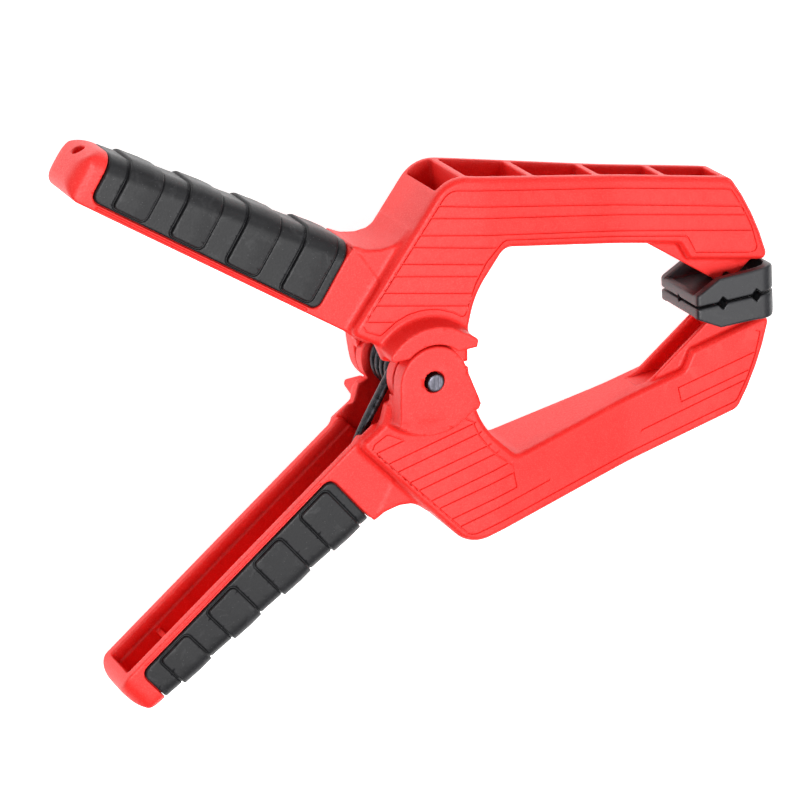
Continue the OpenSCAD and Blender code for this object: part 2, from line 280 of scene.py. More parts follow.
def arm(x, y, z):
    az = np.abs(z)
    s = -x * F32(CA) + y * F32(SA)
    t = x * F32(SA) + y * F32(CA)
    half = half_at(x)
    rho = np.sqrt(x * x + y * y)
    # tongue and handle first, then the thicker neck and jaw over them
    d = smax(np.minimum(poly(x, y, TONGUE), np.sqrt((x - F32(PP[0])) ** 2 + (y - F32(PP[1])) ** 2) - F32(2.9)),
             az - F32(6), 0.5)
    h = handle_blank(s, t, z, az)
    root = smax(poly(x, y, ROOT), az - F32(HANDLE_HALF), 1.2)
    h = smin(h, root, 0.6)
    # shallow line along the handle's flange
    flange = np.maximum(np.abs(t - F32(2.15)) - F32(0.40), np.maximum(F32(50) - s, s - F32(134)))
    h = cut(h, np.maximum(flange, F32(HANDLE_HALF - 0.75) - az), 0.1)
    side = poly(x, y, JAW)
    jaw = smax(side, az - half, 0.3)
    jaw = smax(jaw, (side + az - half + F32(1.25)) * F32(0.7071), 0.35)
    jaw = smin(jaw, h, 2.2)
    d = smin(jaw, d, 1.0)
    # grip recess
    rec = smax(poly(s, t, RECESS), -core(s, t, az), 0.3)
    d = cut(d, rec, 0.45)
    # hub: conical foot on both sides, inner ear and outer lug
    cone = (rho - F32(20.4) + (az - F32(14.0)) * F32(1.3 / 7.5)) * F32(0.985)
    cone = np.minimum(cone, np.where(z > 0, poly(x, y, FOOT_TIP), F32(9)))
    foot = smax(cone, az - F32(HUB), 0.45)
    ax_ = np.where(z > 0, poly(x, y, FOOT_P), poly(x, y, FOOT_N))
    foot = smax(foot, np.maximum(ax_, F32(12) - az), 0.5)
    d = smin(d, foot, 1.3)
    ear = np.maximum(rho - F32(12.4), np.abs(z - F32((CAV + EAR_TOP) / 2)) - F32((EAR_TOP - CAV) / 2))
    d = smin(d, ear, 0.5)
    lug2 = np.minimum(rho - F32(12.3), poly(x, y, LUG))
    lug = smax(lug2, np.abs(z + F32((HUB + LUG_LOW) / 2)) - F32((HUB - LUG_LOW) / 2), 0.7)
    d = smin(d, lug, 0.4)
    # clearance for the other arm's ear and lug, spring space, neck hollow
    d = cut(d, np.maximum(rho - F32(13.0), np.abs(z + F32((LUG_LOW + CAV) / 2)) - F32((LUG_LOW - CAV) / 2)), 0.3)
    d = cut(d, np.maximum(rho - F32(12.9), F32(EAR_TOP) - z), 0.35)
    d = cut(d, np.maximum(rho - F32(13.2), az - F32(CAV)), 0.4)
    d = cut(d, smax(poly(x, y, NECK), az - F32(CAV), 0.8), 0.6)
    # handle channel with its low seat for the spring's leg
    wide = F32(CHAN) + F32(0.7) * np.clip((F32(5.8) - t) / F32(0.5), 0, 1)
    chan = smax(poly(s, t, CHANNEL), az - wide, 1.0)
    seat = np.maximum(np.abs(s - F32(59.5)) - F32(1.4), F32(18.9) - t + (s - F32(58)) * F32(0.45))
    bar = np.maximum(np.abs(s - F32(123)) - F32(0.9), F32(7.2) - t)
    chan = cut(chan, smin(seat, bar, 0), 0.5)
    d = cut(d, chan, 0.55)
    # open cells along the jaw's outer edge
    inner = half - F32(3.3)
    for c in CELLS:
        d = cut(d, smax(poly(x, y, c), az - inner, 1.0), 0.5)
    d = cut(d, np.maximum(poly(x, y, SLOT), az - F32(4.2)), 0.4)
    # bores
    d = cut(d, rho - F32(3.05), 0.2)
    d = cut(d, np.maximum(rho - F32(3.7), z + F32(HUB - 2.9)), 0.3)
    d = cut(d, np.sqrt((x - F32(PP[0])) ** 2 + (y - F32(PP[1])) ** 2) - F32(1.55), 0.2)
    # hang hole through the end wall
    a = math.radians(36)
    hs, ht = s - F32(144.7), t - F32(16.0)
    along = hs * F32(math.cos(a)) + ht * F32(math.sin(a))
    across = -hs * F32(math.sin(a)) + ht * F32(math.cos(a))
    d = cut(d, np.maximum(np.sqrt(across * across + z * z) - F32(2.15), np.abs(along + F32(1.5)) - F32(7)), 0.4)
    return d


# --------------------------------------------------------- grip and jaw pad
GRIP_IN = rounded([(46.62, 3.52, 3.1), (136.88, 3.52, 3.1), (136.88, 40), (46.62, 40)])
BLOCKS = [rounded([(a, 4.75, 2.0), (a + 12.3, 4.75, 1.4), (a + 12.3, 60), (a, 60)])
          for a in (50.5, 72.7, 94.9, 117.1)]


def grip(x, y, z):
    az = np.abs(z)
    s = -x * F32(CA) + y * F32(SA)
    t = x * F32(SA) + y * F32(CA)
    top = t - F32(27.6) + F32(0.095) * (s - F32(48))
    skin = smax(top, az - F32(11.55), 6.8)
    d = smax(skin, poly(s, t, GRIP_IN), 0.7)
    for k, b in enumerate(BLOCKS):
        a = 50.5 + 22.2 * k
        rise = F32(0.55) + F32(0.35) * np.clip((s - F32(a)) / F32(5.0), 0, 1)
        edge = poly(s, t, b)
        moat = np.maximum(np.abs(edge - F32(0.3)) - F32(0.3), -skin - F32(0.4))
        d = cut(d, moat, 0.1)
        d = smin(d, smax(skin - rise, edge, 0.38), 0)
    d = np.maximum(d, az - F32(12.5))
    return cut(d, core(s, t, az, 0.02), 0.2)


PAD = rounded([(105, 0.45, 0.7), (105, 4.1, 0.7), (114.6, 9.1, 0.8), (127, 9.2), (138.1, 9.9, 2.8),
               (138.4, 0.45, 0.6)])
PAD_PLAN = rounded([(105, -13.2, 1.6), (138.4, -13.2, 7), (138.4, 13.2, 7), (105, 13.2, 1.6)])
POCKET = rounded([(108.2, 3.3), (135.2, 3.3), (135.2, 20), (104, 20), (104, 4.1), (108.2, 4.1)])
POCKET_PLAN = rounded([(100, -10.2), (135.2, -10.2, 4.5), (135.2, 10.2, 4.5), (100, 10.2)])


def pad(x, y, z):
    az = np.abs(z)
    d = smax(poly(x, y, PAD), poly(x, z, PAD_PLAN), 0.7)
    pocket = np.maximum(poly(x, y, POCKET), poly(x, z, POCKET_PLAN))
    d = cut(d, pocket, 0.5)
    for gx in (115.5, 129.0):
        v = (np.abs(x - F32(gx)) + (y - F32(2.4))) * F32(0.7071)
        d = cut(d, v, 0.18)
    v = (az + (y - F32(1.5))) * F32(0.7071)
    d = cut(d, v, 0.18)
    # blind bores for the axle
    d = cut(d, np.maximum(np.sqrt((x - F32(PP[0])) ** 2 + (y - F32(PP[1])) ** 2) - F32(1.55), az - F32(12.0)), 0.1)
    return d


# ------------------------------------------------------------------ surfaces
def new_mat(name):
    m = bpy.data.materials.new(name)
    m.use_nodes = True
    nt = m.node_tree
    for n in list(nt.nodes):
        if n.type not in {"BSDF_PRINCIPLED", "OUTPUT_MATERIAL"}:
            nt.nodes.remove(n)
    return m, nt, nt.nodes["Principled BSDF"]


class Graph:
    """Small helper for building node graphs."""

    def __init__(self, nt):
        self.nt = nt

    def node(self, kind, **props):
        n = self.nt.nodes.new(kind)
        for k, v in props.items():
            setattr(n, k, v)
        return n

    def link(self, a, b):
        self.nt.links.new(a, b)

    def coords(self):
        return self.node("ShaderNodeTexCoord").outputs["Object"]

    def mapped(self, vec, scale=(1, 1, 1), rot=(0, 0, 0)):
        m = self.node("ShaderNodeMapping")
        m.inputs["Scale"].default_value = scale
        m.inputs["Rotation"].default_value = rot
        self.link(vec, m.inputs["Vector"])
        return m.outputs["Vector"]

    def noise(self, vec, scale, detail=3.0, rough=0.55, distortion=0.0):
        n = self.node("ShaderNodeTexNoise")
        n.inputs["Scale"].default_value = scale
        n.inputs["Detail"].default_value = detail
        n.inputs["Roughness"].default_value = rough
        n.inputs["Distortion"].default_value = distortion
        self.link(vec, n.inputs["Vector"])
        return n.outputs["Fac"]

    def voronoi(self, vec, scale, feature="F1", rand=1.0):
        n = self.node("ShaderNodeTexVoronoi", feature=feature)
        n.inputs["Scale"].default_value = scale
        n.inputs["Randomness"].default_value = rand
        self.link(vec, n.inputs["Vector"])
        return n.outputs["Distance"]

    def remap(self, v, a, b, c, d, clamp=True):
        n = self.node("ShaderNodeMapRange", clamp=clamp)
        for k, q in zip(("From Min", "From Max", "To Min", "To Max"), (a, b, c, d)):
            n.inputs[k].default_value = q
        self.link(v, n.inputs["Value"])
        return n.outputs["Result"]

    def math(self, op, a, b=None, c=None):
        n = self.node("ShaderNodeMath", operation=op)
        for i, q in enumerate((a, b, c)):
            if q is None:
                continue
            if isinstance(q, (int, float)):
                n.inputs[i].default_value = q
            else:
                self.link(q, n.inputs[i])
        return n.outputs[0]

    def mix(self, fac, a, b):
        n = self.node("ShaderNodeMix", data_type="RGBA")
        ins = n.inputs
        if isinstance(fac, (int, float)):
            n.inputs[0].default_value = fac
        else:
            self.link(fac, n.inputs[0])
        for i, q in ((6, a), (7, b)):
            if isinstance(q, tuple):
                ins[i].default_value = q if len(q) == 4 else q + (1.0,)
            else:
                self.link(q, ins[i])
        return n.outputs[2]

    def bump(self, height, strength, distance, normal=None):
        n = self.node("ShaderNodeBump")
        n.inputs["Strength"].default_value = strength
        n.inputs["Distance"].default_value = distance
        self.link(height, n.inputs["Height"])
        if normal is not None:
            self.link(normal, n.inputs["Normal"])
        return n.outputs["Normal"]


def red_plastic():
    m, nt, b = new_mat("red_nylon")
    g = Graph(nt)
    co = g.coords()
    grain = g.noise(co, 1500.0, 2.0, 0.6)
    cell = g.voronoi(co, 1100.0, "SMOOTH_F1")
    cloud = g.noise(co, 55.0, 4.0, 0.55)
    fleck = g.noise(co, 2600.0, 1.0, 0.5)
    base = g.mix(g.remap(cloud, 0.35, 0.65, 0, 1), RED_A, RED_B)
    base = g.mix(g.remap(fleck, 0.50, 0.70, 0.0, 0.45), base, RED_C)
    geo = g.node("ShaderNodeNewGeometry")
    # lighter red mixed in on sharp convex edges
    convex_lighter = g.remap(geo.outputs["Pointiness"], 0.52, 0.60, 0.0, 0.30)
    base = g.mix(convex_lighter, base, RED_C)
    # painted shade: darker red mixed into concave creases, grooves and corners
    base = g.mix(g.remap(geo.outputs["Pointiness"], 0.40, 0.485, 0.45, 0.0), base, RED_CREASE_SHADE)
    g.link(base, b.inputs["Base Color"])
    g.link(g.remap(grain, 0.3, 0.7, 0.40, 0.56), b.inputs["Roughness"])
    h = g.math("ADD", g.math("MULTIPLY", grain, 0.7), g.math("MULTIPLY", cell, 0.5))
    n1 = g.bump(h, 0.6, 0.00012)
    n2 = g.bump(g.noise(co, 120.0, 3.0, 0.5), 0.05, 0.0006, n1)
    g.link(n2, b.inputs["Normal"])
    b.inputs["IOR"].default_value = 1.5
    b.inputs["Specular IOR Level"].default_value = 0.43
    return m


RED_A = (0.86, 0.018, 0.014)
RED_B = (0.80, 0.012, 0.009)
RED_C = (0.94, 0.075, 0.062)
# painted shade colour for the concave creases
RED_CREASE_SHADE = (0.40, 0.003, 0.002)


def black_soft(name, tone, rough, grain_scale, dust, spec):
    m, nt, b = new_mat(name)
    g = Graph(nt)
    co = g.coords()
    grain = g.noise(co, grain_scale, 3.0, 0.6)
    cloud = g.noise(co, 45.0, 5.0, 0.6, 0.4)
    streak = g.noise(g.mapped(co, (1.0, 1.0, 0.25), (0.3, 0.2, 0.7)), 160.0, 4.0, 0.65, 0.8)
    speck = g.voronoi(co, 650.0)
    base = g.mix(g.remap(cloud, 0.3, 0.7, 0, 1), tuple(c * 0.8 for c in tone), tuple(c * 1.25 for c in tone))
    base = g.mix(g.remap(streak, 0.56, 0.70, 0, dust), base, (0.12, 0.12, 0.125))
    base = g.mix(g.remap(speck, 0.05, 0.11, dust * 1.6, 0.0), base, (0.25, 0.25, 0.26))
    g.link(base, b.inputs["Base Color"])
    g.link(g.remap(g.math("ADD", g.math("MULTIPLY", grain, 0.5), g.math("MULTIPLY", cloud, 0.5)),
                   0.3, 0.7, rough - 0.08, rough + 0.10), b.inputs["Roughness"])
    n1 = g.bump(grain, 0.45, 0.00010)
    n2 = g.bump(streak, 0.08, 0.0003, n1)
    g.link(n2, b.inputs["Normal"])
    b.inputs["Specular IOR Level"].default_value = spec
    return m


def steel_pin():
    m, nt, b = new_mat("pin_steel")
    g = Graph(nt)
    co = g.coords()
    brush = g.noise(g.mapped(co, (1.0, 0.07, 1.0), (0, 0, 0.5)), 2600.0, 4.0, 0.7, 0.5)
    blot = g.noise(co, 900.0, 3.0, 0.6, 0.6)
    base = g.mix(g.remap(brush, 0.35, 0.68, 0, 1), (0.045, 0.044, 0.055), (0.21, 0.205, 0.25))
    base = g.mix(g.remap(blot, 0.55, 0.72, 0, 0.6), base, (0.08, 0.08, 0.09))
    # blackened knurl on the side, bare metal on the end face
    off = g.node("ShaderNodeVectorMath", operation="ADD")
    off.inputs[1].default_value = (X_MID / 1000, 0, 0)
    g.link(co, off.inputs[0])
    flat = g.node("ShaderNodeVectorMath", operation="MULTIPLY")
    flat.inputs[1].default_value = (1, 1, 0)
    g.link(off.outputs[0], flat.inputs[0])
    far = g.node("ShaderNodeVectorMath", operation="LENGTH")
    g.link(flat.outputs[0], far.inputs[0])
    base = g.mix(g.remap(far.outputs["Value"], 0.00278, 0.0030, 0, 1), base, (0.018, 0.018, 0.021))
    g.link(base, b.inputs["Base Color"])
    b.inputs["Metallic"].default_value = 0.85
    g.link(g.remap(blot, 0.3, 0.7, 0.30, 0.52), b.inputs["Roughness"])
    g.link(g.bump(brush, 0.35, 0.0001), b.inputs["Normal"])
    return m


def spring_steel():
    m, nt, b = new_mat("spring_steel")
    g = Graph(nt)
    co = g.coords()
    scale_ = g.noise(co, 420.0, 4.0, 0.65, 0.5)
    fine = g.noise(co, 2400.0, 2.0, 0.6)
    base = g.mix(g.remap(scale_, 0.35, 0.65, 0, 1), (0.010, 0.010, 0.012), (0.050, 0.050, 0.058))
    base = g.mix(g.remap(fine, 0.58, 0.72, 0, 0.5), base, (0.13, 0.13, 0.145))
    g.link(base, b.inputs["Base Color"])
    b.inputs["Metallic"].default_value = 0.8
    g.link(g.remap(scale_, 0.3, 0.7, 0.22, 0.42), b.inputs["Roughness"])
    g.link(g.bump(fine, 0.25, 0.00006), b.inputs["Normal"])
    return m


RED = red_plastic()
RUBBER = black_soft("grip_rubber", (0.010, 0.010, 0.0115), 0.45, 1400.0, 0.16, 0.34)
PADMAT = black_soft("pad_nylon", (0.022, 0.022, 0.025), 0.38, 1700.0, 0.10, 0.5)
STEEL = steel_pin()
SPRING = spring_steel()


# -------------------------------------------------------------- making pieces
def finish_mesh(name, pts, faces, loop_normals, mat):
    """A mesh in the row frame from canonical millimetres."""
    me = bpy.data.meshes.new(name)
    me.from_pydata(to_frame(pts).tolist(), [], faces)
    me.polygons.foreach_set("use_smooth", [True] * len(me.polygons))
    me.materials.append(mat)
    me.update()
    me.normals_split_custom_set(np.asarray(loop_normals, float).tolist())
    o = bpy.data.objects.new(name, me)
    bpy.context.scene.collection.objects.link(o)
    return o


def flipped(a):
    """The same points or normals for the lower side: half a turn about u."""
    b = np.array(a, float)
    b[..., 1] *= -1
    b[..., 2] *= -1
    return b


def place(name, pts, faces, loop_normals, mat, body, node, slot_name, lower=False):
    if lower:
        pts, loop_normals = flipped(pts), flipped(loop_normals)
    o = finish_mesh(name, pts, faces, loop_normals, mat)
    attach(o, body)
    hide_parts(node)
    return o


def per_loop(normals, faces):
    idx = np.fromiter((i for f in faces for i in f), int)
    return normals[idx]


# ------------------------------------------------- engraved lines on the panels
G_HALF, G_FLOOR, G_DEEP = 0.34, 0.12, 0.46
MAIN = rounded([(-20, 23.6, 0.7), (13.0, 62.6, 6), (122.0, 39.5, 3.0), (126.9, 31.0), (129.9, 24.0),
                (132.5, 14.1, 1.8), (107.4, 19.4, 1.4), (104.3, 26.0, 2.6), (32.6, 41.0, 3.5),
                (25.2, 34.9), (20.7, 28.5), (17.3, 21.0), (15.7, 17.2, 1.3), (11.6, 20.1),
                (7.1, 22.1), (3.4, 23.0), (-0.4, 23.3), (-4.6, 22.9), (-9.3, 21.3)], 4)
SMALL = rounded([(-9.3, 21.3), (-15.2, 17.7, 1.2), (-20.1, 20.2, 1.0), (-21.3, 22.3, 0.5), (-20, 23.6)], 3)
# lines across the neck and jaw: height at the pivot and slope
ACROSS = [(59.9, -0.2185), (55.6, -0.2091), (49.6, -0.2066), (45.5, -0.2197),
          (39.6, -0.2177), (35.3, -0.2160), (29.4, -0.2208), (25.0, -0.2205)]
EDGE_IN = rounded([(14.2, 19.2), (16.3, 20.6, 1.0), (18.3, 26.1), (21.6, 31.3), (24.4, 34.7), (30.4, 40.2)], 3)


def spans(line, ring):
    """The parts of a line v = a + b u inside a closed outline, as u ranges."""
    a, b = line
    us = []
    for i in range(len(ring)):
        p, q = ring[i], ring[(i + 1) % len(ring)]
        f, g = p[1] - a - b * p[0], q[1] - a - b * q[0]
        if (f < 0) != (g < 0):
            k = f / (f - g)
            us.append(p[0] + k * (q[0] - p[0]))
    us.sort()
    return [(us[i], us[i + 1]) for i in range(0, len(us) - 1, 2)]


def across(line, u0, u1):
    a, b = line
    return np.array([(u0, a + b * u0), (u1, a + b * u1)])


def pattern(full):
    """Centre lines of the grooves: the full pattern or the sparser one."""
    ring = np.vstack([MAIN, MAIN[:1]])
    out = [SMALL]
    if full:
        out.append(ring)
        for i, line in enumerate(ACROSS):
            for u0, u1 in spans(line, MAIN)[:2 if i < 3 else 1]:
                if u1 - u0 > 1:
                    out.append(across(line, u0, u1))
        return out
    # the outer edge of the outline only, and the lines at the neck and the tip
    outer = rounded([(-20, 23.6, 0), (13.0, 62.6, 6), (122.0, 39.5, 3.0), (126.9, 31.0), (129.9, 24.0),
                     (132.3, 15.6, 1.0), (130.6, 14.8, 0)], 4)[0:]
    out.append(outer)
    out.append(EDGE_IN)
    out.append(np.array([(-20, 23.6), (-9.3, 21.3)]))
    stops = [(45.0, 84.0), (31.7, 99.6), (30.8, 98.6), (29.4, None), (None, None), (None, None),
             (None, None), (None, None)]
    inner = np.vstack([MAIN])
    for line, (stop, start) in zip(ACROSS, stops):
        sp = spans(line, inner)
        if not sp:
            continue
        u0, u1 = sp[0][0], sp[-1][1]
        if stop is None:
            out.append(across(line, u0, sp[0][1]))
        else:
            out.append(across(line, u0, stop))
            if start is not None:
                out.append(across(line, start, u1))
    v = lambda k, u: ACROSS[k][0] + ACROSS[k][1] * u
    out.append(np.array([(31.7, v(1, 31.7)), (30.8, v(2, 30.8))]))
    out.append(np.array([(99.6, v(1, 99.6)), (98.6, v(2, 98.6))]))
    return out


def refine(line):
    """More points along a polyline: about every 1.5 mm on segments over 6 mm, every 2 mm on shorter ones."""
    out = [line[0]]
    for p, q in zip(line[:-1], line[1:]):
        d = float(np.linalg.norm(q - p))
        mid = (p[0] + q[0]) / 2
        if d > 6:
            n = max(1, int(d / 1.5))
        else:
            n = max(1, int(d / 2.0))
        for k in range(1, n + 1):
            out.append(p + (q - p) * k / n)
    return np.array(out)


def offset(line, d):
    """Polyline moved sideways by d, with mitred corners."""
    seg = np.diff(line, axis=0)
    ln = np.linalg.norm(seg, axis=1, keepdims=True)
    nrm = np.stack([-seg[:, 1], seg[:, 0]], 1) / np.maximum(ln, 1e-9)
    for i in range(1, len(nrm)):
        if ln[i, 0] < 1e-6:
            nrm[i] = nrm[i - 1]
    a = np.vstack([nrm[:1], nrm])
    b = np.vstack([nrm, nrm[-1:]])
    if np.linalg.norm(line[0] - line[-1]) < 1e-6:
        a[0], b[-1] = nrm[-1], nrm[0]
    m = a + b
    m /= np.maximum(np.linalg.norm(m, axis=1, keepdims=True), 1e-9)
    k = np.clip((m * a).sum(1, keepdims=True), 0.5, 1)
    return line + m * d / k


def groove_depth(p, lines):
    """Depth below the panel at points p."""
    best = np.full(len(p), 9.0)
    for ln in lines:
        for a, b in zip(ln[:-1], ln[1:]):
            e = b - a
            l2 = float(e @ e)
            if l2 < 1e-12:
                continue
            w = p - a
            t = np.clip(w @ e / l2, 0, 1)
            best = np.minimum(best, np.linalg.norm(w - t[:, None] * e, axis=1))
    return G_DEEP * np.clip((G_HALF - best) / (G_HALF - G_FLOOR), 0, 1)


def panel_normal(u, side):
    e = 0.05
    k = (half_at(u + e) - half_at(u - e)) / (2 * e)
    n = np.stack([-k, np.zeros_like(u), np.ones_like(u)], 1)
    n /= np.linalg.norm(n, axis=1, keepdims=True)
    n[:, 2] *= side
    return n


def engrave(pts, nrm, faces, side, lines):
    """Cuts the flat panel face out and puts back one with grooves in it."""
    flat_n = panel_normal(pts[:, 0], side)
    on = (np.abs(pts[:, 2] * side - half_at(pts[:, 0])) < 0.03) & ((nrm * flat_n).sum(1) > 0.9996)
    on &= (pts[:, 1] > 14.2) & (poly(pts[:, 0], pts[:, 1], JAW) < -0.9)
    keep, gone = [], []
    for f in faces:
        (gone if all(on[i] for i in f) else keep).append(f)
    edges = {}
    for f in gone:
        for a, b in zip(f, f[1:] + f[:1]):
            key = (min(a, b), max(a, b))
            edges[key] = edges.get(key, 0) + 1
    rim = [k for k, c in edges.items() if c == 1]
    ids = sorted({i for e in rim for i in e})
    at = {v: i for i, v in enumerate(ids)}
    co = [tuple(pts[v, :2]) for v in ids]
    cons = [(at[a], at[b]) for a, b in rim]
    n_rim = len(co)
    for ln in lines:
        fine = refine(ln)
        for d in (-G_HALF, -G_FLOOR, G_FLOOR, G_HALF):
            off = offset(fine, d)
            first = len(co)
            co += [tuple(q) for q in off]
            cons += [(first + i, first + i + 1) for i in range(len(off) - 1)]
    # points in the open panel so that its bends stay smooth
    gx, gy = np.meshgrid(np.arange(-20, 134, 1.6), np.arange(15.0, 64, 3.1))
    free = np.stack([gx.ravel(), gy.ravel()], 1)
    bend = ((free[:, 0] > 15) & (free[:, 0] < 35)) | ((free[:, 0] > 68) & (free[:, 0] < 88))
    free = free[bend | (np.arange(len(free)) % 4 == 0)]
    free = free[groove_depth(free, lines) <= 0]
    ring = np.array([[co[a], co[b]] for a, b in cons[:len(rim)]])

    def inside(p):
        hit = np.zeros(len(p), bool)
        for (ax, ay), (bx, by) in ring:
            cond = (ay > p[:, 1]) != (by > p[:, 1])
            if not cond.any():
                continue
            xx = ax + (p[:, 1] - ay) * (bx - ax) / (by - ay if by != ay else 1e-12)
            hit ^= cond & (p[:, 0] < xx)
        return hit

    far = np.full(len(free), 9.0)
    for (ax, ay), (bx, by) in ring:
        e = np.array([bx - ax, by - ay])
        w = free - (ax, ay)
        t = np.clip(w @ e / max(e @ e, 1e-12), 0, 1)
        far = np.minimum(far, np.linalg.norm(w - t[:, None] * e, axis=1))
    free = free[inside(free) & (far > 0.5)]
    co += [tuple(q) for q in free]
    v2, _, f2, ov, _, _ = delaunay_2d_cdt([Vector(c) for c in co], cons, [], 0, 1e-5, True)
    v2 = np.array([tuple(c) for c in v2])
    tri = np.array([list(f) for f in f2 if len(f) == 3])
    mid = v2[tri].mean(1)
    tri = tri[inside(mid)]
    base = len(pts)
    new_id = np.full(len(v2), -1)
    extra = []
    for i, o in enumerate(ov):
        r = [k for k in o if k < n_rim]
        if r:
            new_id[i] = ids[r[0]]
        else:
            new_id[i] = base + len(extra)
            extra.append(v2[i])
    extra = np.array(extra)
    dep = groove_depth(extra, lines)
    z = side * (half_at(extra[:, 0]) - dep)
    pts = np.vstack([pts, np.column_stack([extra, z])])
    deep = np.concatenate([np.zeros(base), dep])
    nrm = np.vstack([nrm, panel_normal(extra[:, 0], side)])
    tri = new_id[tri]
    a, b, c = pts[tri[:, 0]], pts[tri[:, 1]], pts[tri[:, 2]]
    fn = np.cross(b - a, c - a)
    area = np.linalg.norm(fn, axis=1)
    ok = area > 1e-7
    tri, fn, area = tri[ok], fn[ok], area[ok]
    wrong = fn[:, 2] * side < 0
    tri[wrong] = tri[wrong][:, ::-1]
    fn[wrong] *= -1
    fn /= np.linalg.norm(fn, axis=1, keepdims=True)
    level = (np.ptp(deep[tri], axis=1) < 0.02) | (area < 1e-5) | (np.abs(fn[:, 2]) < 0.25)
    loops = np.where(level[:, None, None], panel_normal(pts[tri].reshape(-1, 3)[:, 0], side).reshape(-1, 3, 3),
                     fn[:, None, :])
    used = sorted({i for f in keep for i in f} | set(tri.ravel().tolist()))
    return pts, nrm, keep, tri, loops


def compact(pts, faces, loop_n):
    """Drops points that no face uses."""
    used = np.unique(np.fromiter((i for f in faces for i in f), int))
    where = np.full(len(pts), -1)
    where[used] = np.arange(len(used))
    return pts[used], [tuple(int(where[i]) for i in f) for f in faces], loop_n


def build_arm():
    g, org = sample(arm, (-121, -16, -21.5), (137, 103, 21.5), STEP)
    # a slight unevenness over the panels keeps the mesh fine up to their rims
    i, j, k = (np.arange(n) for n in g.shape)
    x, y, z = (F32(org[a]) + F32(STEP) * q.astype(F32) for a, q in enumerate((i, j, k)))
    near = np.abs(np.abs(z)[None, :] - half_at(x)[:, None]) < 0.9
    over = poly(x[:, None], y[None, :], JAW) < -0.4
    sign = ((i // 2 % 2 * 2 - 1)[:, None, None] * (j // 2 % 2 * 2 - 1)[None, :, None]).astype(F32)
    uneven = g + F32(0.2 * STEP) * sign * (near[:, None, :] & over[:, :, None])
    pts, nrm, faces = extract(g, org, STEP, 0.03, uneven)
    faces = [tuple(f) for f in faces]
    pts, nrm, faces, t1, l1 = engrave(pts, nrm, faces, 1, pattern(True))
    pts, nrm, faces, t2, l2 = engrave(pts, nrm, faces, -1, pattern(False))
    loops = [per_loop(nrm, faces), l1.reshape(-1, 3), l2.reshape(-1, 3)]
    faces = faces + [tuple(f) for f in t1.tolist()] + [tuple(f) for f in t2.tolist()]
    return compact(pts, faces, np.vstack(loops))


def build_plain(f, lo, hi, h, adaptivity):
    g, org = sample(f, lo, hi, h)
    pts, nrm, faces = extract(g, org, h, adaptivity)
    return pts, faces, per_loop(nrm, faces)


ARM = build_arm()
GRIP = build_plain(grip, (-118, 24, -12.6), (-20, 103, 12.6), STEP * 0.8, 0.04)
PADM = build_plain(pad, (104, 0, -13.3), (138.6, 10.2, 13.3), 0.26, 0.04)
for low, body in ((False, "upper"), (True, "lower")):
    place(body + "_arm_body", *ARM, RED, body, body + "_arm", "arm_nylon", low)
    place(body + "_soft_grip", *GRIP, RUBBER, body, body + "_grip", "grip_rubber", low)
    place(body + "_pad_body", *PADM, PADMAT, body + "_pad", body + "_jaw_pad", "pad_nylon", low)


# --------------------------------------------------------------------- metal
def lathe(profile, seg, wave=0.0, teeth=0, wave_z=None):
    """Turned piece about w: (radius, w) rings, with shallow knurling."""
    pts, faces = [], []
    for r, z in profile:
        for k in range(seg):
            a = 2 * math.pi * k / seg
            rr = r
            if wave and wave_z(z):
                rr = r - wave * (0.5 - 0.5 * math.cos(a * teeth))
            pts.append((rr * math.cos(a), rr * math.sin(a), z))
    n = len(profile)
    for i in range(n - 1):
        for k in range(seg):
            a, b = i * seg + k, i * seg + (k + 1) % seg
            faces.append((a, b, b + seg, a + seg))
    pts.append((0, 0, profile[0][1]))
    pts.append((0, 0, profile[-1][1]))
    lo, hi = len(pts) - 2, len(pts) - 1
    for k in range(seg):
        faces.append((lo, (k + 1) % seg, k))
        faces.append((hi, (n - 1) * seg + k, (n - 1) * seg + (k + 1) % seg))
    return np.array(pts, float), faces


def smooth_by_angle(o, deg):
    o.data.polygons.foreach_set("use_smooth", [True] * len(o.data.polygons))
    o.data.set_sharp_from_angle(angle=math.radians(deg))


def plain_piece(name, pts, faces, mat, body, node, deg=35, blend=None):
    me = bpy.data.meshes.new(name)
    me.from_pydata(to_frame(pts).tolist(), [], faces)
    me.materials.append(mat)
    me.update()
    o = bpy.data.objects.new(name, me)
    bpy.context.scene.collection.objects.link(o)
    smooth_by_angle(o, deg)
    if blend:
        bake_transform(o)
    else:
        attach(o, body)
    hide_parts(node)
    return o


L = Z_MID - 0.02
pin_profile = [(0.9, -L + 0.02), (2.0, -L + 0.02), (2.70, -L + 0.05), (2.86, -L + 0.14), (3.25, -L + 0.55), (3.25, -L + 1.4), (3.25, -L + 2.9), (2.98, -L + 3.2),
               (2.98, -12), (2.98, 0), (2.98, 12), (2.98, L - 3.2), (3.25, L - 2.9), (3.25, L - 1.4), (3.25, L - 0.55),
               (2.86, L - 0.14), (2.70, L - 0.05), (2.0, L - 0.02), (0.9, L - 0.02)]
p, f = lathe(pin_profile, 168, 0.26, 28, lambda z: 19.8 < abs(z) < 22.6)
plain_piece("pivot_pin_knurled", p, f, STEEL, "lower", "pivot_pin", 40)
for low, body in ((False, "upper"), (True, "lower")):
    prof = [(0.5, -11.75), (1.1, -11.72), (1.42, -11.4), (1.49, -11.0), (1.49, 0), (1.49, 11.0),
            (1.42, 11.4), (1.1, 11.72), (0.5, 11.75)]
    p, f = lathe(prof, 40)
    p = p + np.array([PP[0], PP[1], 0])
    if low:
        p = flipped(p)
    plain_piece(body + "_pad_axle", p, f, STEEL, body, body + "_pad_pin", 40)

